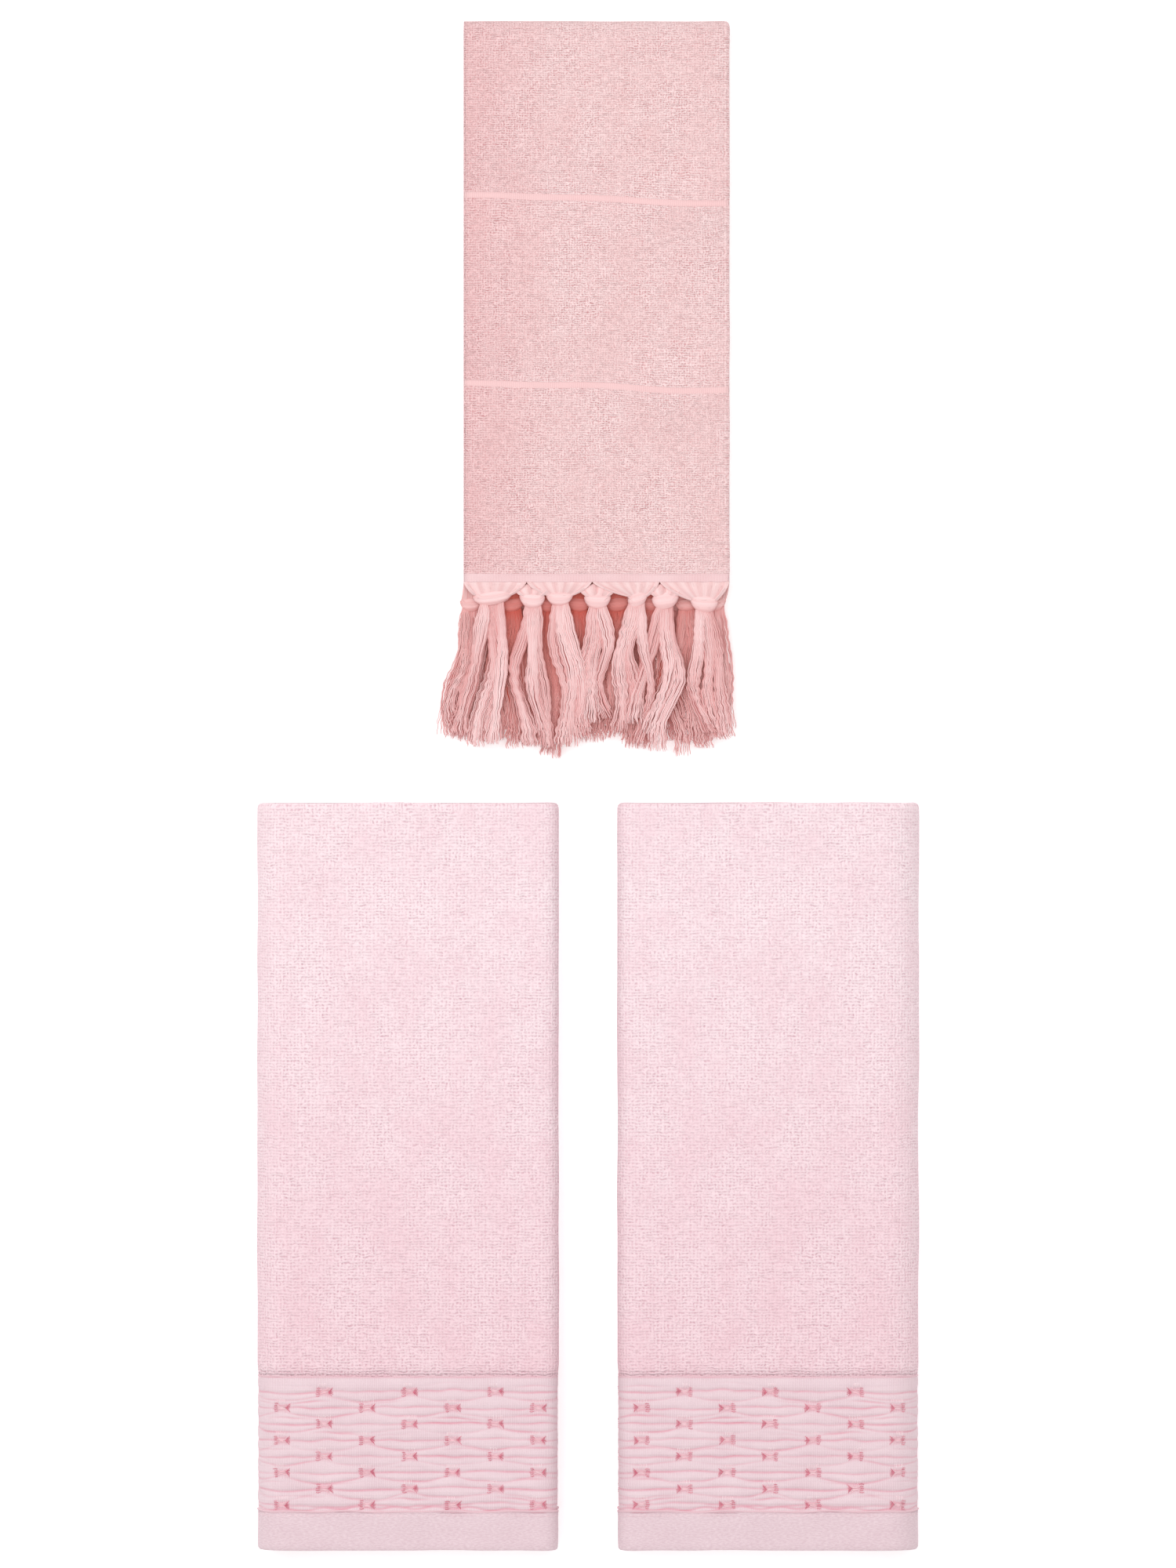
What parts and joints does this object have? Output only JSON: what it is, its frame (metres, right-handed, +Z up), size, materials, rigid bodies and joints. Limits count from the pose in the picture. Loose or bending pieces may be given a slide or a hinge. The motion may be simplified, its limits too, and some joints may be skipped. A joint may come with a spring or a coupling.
{
  "type": "bath towel set",
  "caption": "Folded bath towels with a puckered, stitched border beside a folded hand towel with a knotted fringe; each opens at its outer fold.",
  "frame": {"origin": "middle of the set's footprint, on the surface that the towels lie on", "axes": "+X to the right across the towels, +Y up the towels towards the hand towel's fold, +Z up off the table"},
  "size_m": [0.3844, 0.8882, 0.036],
  "materials": {
    "pale_terry": "looped terry pile",
    "pale_border": "puckered ribbed weave",
    "pale_hem": "plain twill weave",
    "stitch_thread": "soft embroidery thread",
    "pink_terry": "looped terry pile",
    "pink_band": "flat ribbed weave",
    "fringe_yarn": "loose plied cotton yarn"
  },
  "bodies": {
    "left_back_half": {"left_back_terry_field": "pale_terry", "left_back_puckered_border": "pale_border", "left_back_hem": "pale_hem", "left_back_middle_ply": "pale_terry", "left_back_inner_ply": "pale_terry", "left_back_inner_border_end": "pale_border"},
    "left_front_half": {"left_front_terry_field": "pale_terry", "left_front_puckered_border": "pale_border", "left_front_hem": "pale_hem", "left_front_middle_ply": "pale_terry", "left_front_inner_ply": "pale_terry", "left_front_inner_border_end": "pale_border"},
    "right_back_half": {"right_back_terry_field": "pale_terry", "right_back_puckered_border": "pale_border", "right_back_hem": "pale_hem", "right_back_middle_ply": "pale_terry", "right_back_inner_ply": "pale_terry", "right_back_inner_border_end": "pale_border"},
    "right_front_half": {"right_front_terry_field": "pale_terry", "right_front_puckered_border": "pale_border", "right_front_hem": "pale_hem", "right_front_middle_ply": "pale_terry", "right_front_inner_ply": "pale_terry", "right_front_inner_border_end": "pale_border"},
    "fringed_lower_half": {"fringed_lower_terry_top": "pink_terry", "fringed_lower_flat_band_1": "pink_band", "fringed_lower_terry_middle": "pink_terry", "fringed_lower_flat_band_2": "pink_band", "fringed_lower_terry_bottom": "pink_terry", "fringed_lower_header": "pink_band", "back_tassel_1": "fringe_yarn", "back_tassel_2": "fringe_yarn", "back_tassel_3": "fringe_yarn", "back_tassel_4": "fringe_yarn", "back_tassel_5": "fringe_yarn", "back_tassel_6": "fringe_yarn", "back_tassel_7": "fringe_yarn", "back_tassel_8": "fringe_yarn"},
    "fringed_upper_half": {"fringed_upper_terry_top": "pink_terry", "fringed_upper_flat_band_1": "pink_band", "fringed_upper_terry_middle": "pink_terry", "fringed_upper_flat_band_2": "pink_band", "fringed_upper_terry_bottom": "pink_terry", "fringed_upper_header": "pink_band", "middle_tassel_1": "fringe_yarn", "middle_tassel_2": "fringe_yarn", "middle_tassel_3": "fringe_yarn", "middle_tassel_4": "fringe_yarn", "middle_tassel_5": "fringe_yarn", "middle_tassel_6": "fringe_yarn", "middle_tassel_7": "fringe_yarn", "middle_tassel_8": "fringe_yarn"},
    "front_tassel_1_body": {"front_tassel_1": "fringe_yarn"},
    "front_tassel_2_body": {"front_tassel_2": "fringe_yarn"},
    "front_tassel_3_body": {"front_tassel_3": "fringe_yarn"},
    "front_tassel_4_body": {"front_tassel_4": "fringe_yarn"},
    "front_tassel_5_body": {"front_tassel_5": "fringe_yarn"},
    "front_tassel_6_body": {"front_tassel_6": "fringe_yarn"},
    "front_tassel_7_body": {"front_tassel_7": "fringe_yarn"}
  },
  "joints": [
    {"name": "left_book_fold", "type": "hinge", "parent": "left_back_half", "child": "left_front_half", "pos_m": [-0.1922, -0.2275, 0.018], "axis": [0, -1, 0], "range_deg": [0, 180]},
    {"name": "right_lift", "type": "slide", "parent": "left_back_half", "child": "right_back_half", "axis": [0, 0, 1], "range_m": [0, 0.15]},
    {"name": "right_book_fold", "type": "hinge", "parent": "right_back_half", "child": "right_front_half", "pos_m": [0.1922, -0.2275, 0.018], "axis": [0, 1, 0], "range_deg": [0, 180]},
    {"name": "fringed_lift", "type": "slide", "parent": "left_back_half", "child": "fringed_lower_half", "axis": [0, 0, 1], "range_m": [0, 0.15]},
    {"name": "fringed_half_fold", "type": "hinge", "parent": "fringed_lower_half", "child": "fringed_upper_half", "pos_m": [0.005, 0.4441, 0.009], "axis": [-1, 0, 0], "range_deg": [0, 180]},
    {"name": "front_tassel_1_sway", "type": "hinge", "parent": "fringed_upper_half", "child": "front_tassel_1_body", "pos_m": [-0.05546, 0.1148, 0.01495], "axis": [0, 0, 1], "range_deg": [-6, 6]},
    {"name": "front_tassel_2_sway", "type": "hinge", "parent": "fringed_upper_half", "child": "front_tassel_2_body", "pos_m": [-0.03247, 0.1148, 0.01495], "axis": [0, 0, 1], "range_deg": [-6, 6]},
    {"name": "front_tassel_3_sway", "type": "hinge", "parent": "fringed_upper_half", "child": "front_tassel_3_body", "pos_m": [-0.01649, 0.1148, 0.01495], "axis": [0, 0, 1], "range_deg": [-6, 6]},
    {"name": "front_tassel_4_sway", "type": "hinge", "parent": "fringed_upper_half", "child": "front_tassel_4_body", "pos_m": [0.0055, 0.1148, 0.01495], "axis": [0, 0, 1], "range_deg": [-6, 6]},
    {"name": "front_tassel_5_sway", "type": "hinge", "parent": "fringed_upper_half", "child": "front_tassel_5_body", "pos_m": [0.02899, 0.1148, 0.01495], "axis": [0, 0, 1], "range_deg": [-6, 6]},
    {"name": "front_tassel_6_sway", "type": "hinge", "parent": "fringed_upper_half", "child": "front_tassel_6_body", "pos_m": [0.04497, 0.1148, 0.01495], "axis": [0, 0, 1], "range_deg": [-6, 6]},
    {"name": "front_tassel_7_sway", "type": "hinge", "parent": "fringed_upper_half", "child": "front_tassel_7_body", "pos_m": [0.06746, 0.1148, 0.01495], "axis": [0, 0, 1], "range_deg": [-6, 6]}
  ],
  "couplings": [
    {"joint": "front_tassel_2_sway", "follows": "front_tassel_1_sway", "ratio": 1},
    {"joint": "front_tassel_3_sway", "follows": "front_tassel_1_sway", "ratio": 1},
    {"joint": "front_tassel_4_sway", "follows": "front_tassel_1_sway", "ratio": 1},
    {"joint": "front_tassel_5_sway", "follows": "front_tassel_1_sway", "ratio": 1},
    {"joint": "front_tassel_6_sway", "follows": "front_tassel_1_sway", "ratio": 1},
    {"joint": "front_tassel_7_sway", "follows": "front_tassel_1_sway", "ratio": 1}
  ]
}
